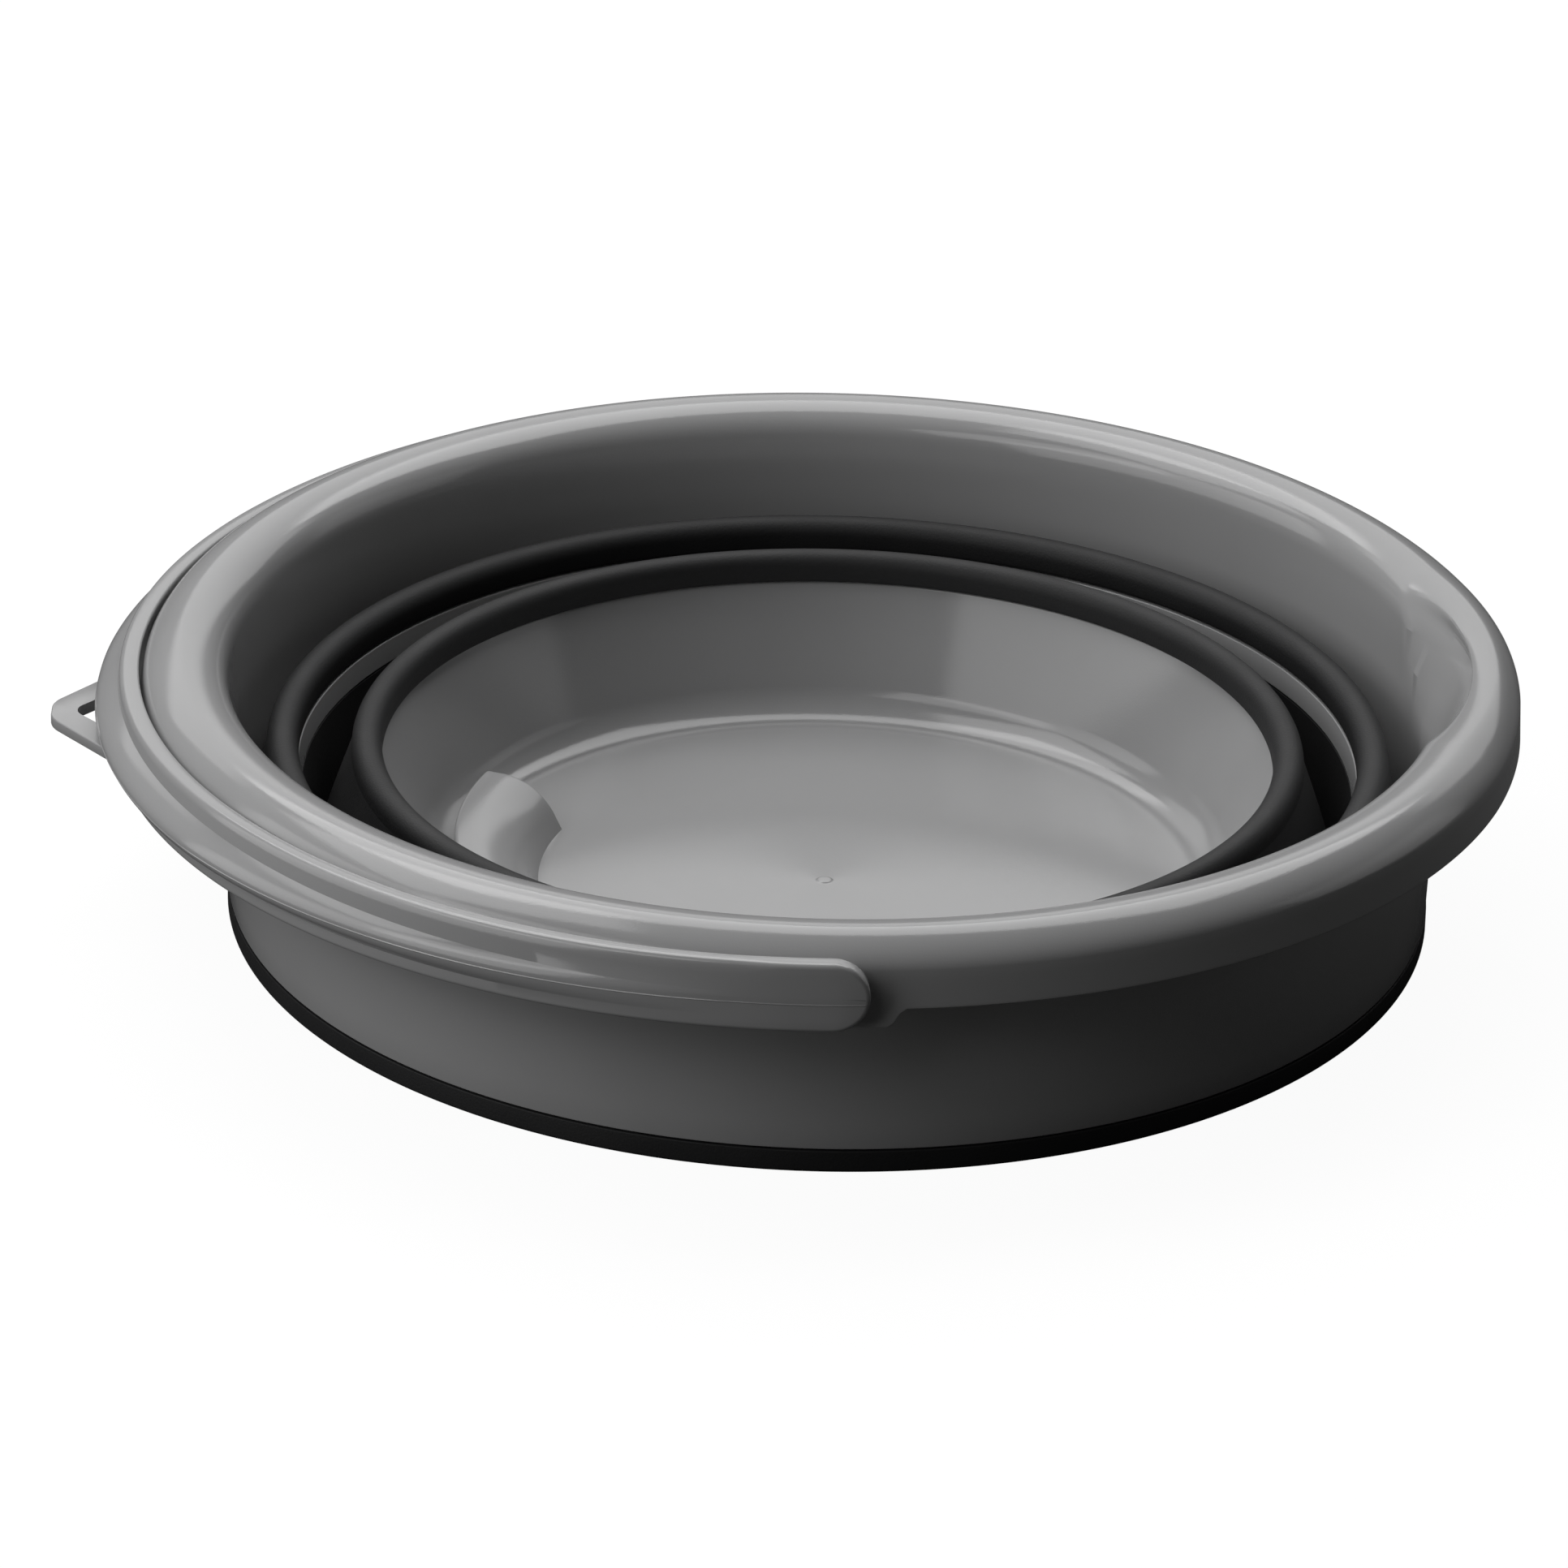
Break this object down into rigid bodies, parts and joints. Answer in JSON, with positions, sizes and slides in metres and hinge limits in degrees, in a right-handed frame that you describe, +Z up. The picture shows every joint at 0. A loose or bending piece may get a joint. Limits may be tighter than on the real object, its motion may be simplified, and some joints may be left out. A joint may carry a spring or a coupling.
{
  "type": "collapsible bucket",
  "caption": "Collapsible bucket folded flat: rolled rim with a pouring spout, soft accordion folds, bowl base with a finger recess, and a bail handle with a hang tab.",
  "frame": {"origin": "on the bucket's axis at the level of the ground it stands on", "axes": "+Z up along the bucket's axis, +X to the pouring spout, -X to the middle of the handle, pivots on Y"},
  "size_m": [0.3468, 0.3374, 0.0661],
  "materials": {
    "rigid_grey": "moulded polypropylene, satin to glossy",
    "soft_black": "matte thermoplastic elastomer"
  },
  "bodies": {
    "base": {"base_bowl": "rigid_grey", "lower_fold_bead": "soft_black", "lower_fold_web": "soft_black"},
    "middle": {"middle_ring": "rigid_grey", "lower_fold_band": "soft_black", "upper_fold_bead": "soft_black", "upper_fold_web": "soft_black"},
    "rim": {"upper_ring": "rigid_grey", "upper_fold_cuff": "soft_black"},
    "handle": {"handle": "rigid_grey"}
  },
  "joints": [
    {"name": "lower_fold", "type": "slide", "parent": "base", "child": "middle", "axis": [0, 0, 1], "range_m": [0, 0.0682], "deforming": ["lower_fold_web"]},
    {"name": "upper_fold", "type": "slide", "parent": "middle", "child": "rim", "axis": [0, 0, 1], "range_m": [0, 0.0686], "deforming": ["upper_fold_web"]},
    {"name": "handle_swing", "type": "hinge", "parent": "rim", "child": "handle", "pos_m": [0, 0, 0.0547], "axis": [0, 1, 0], "range_deg": [0, 165]}
  ]
}
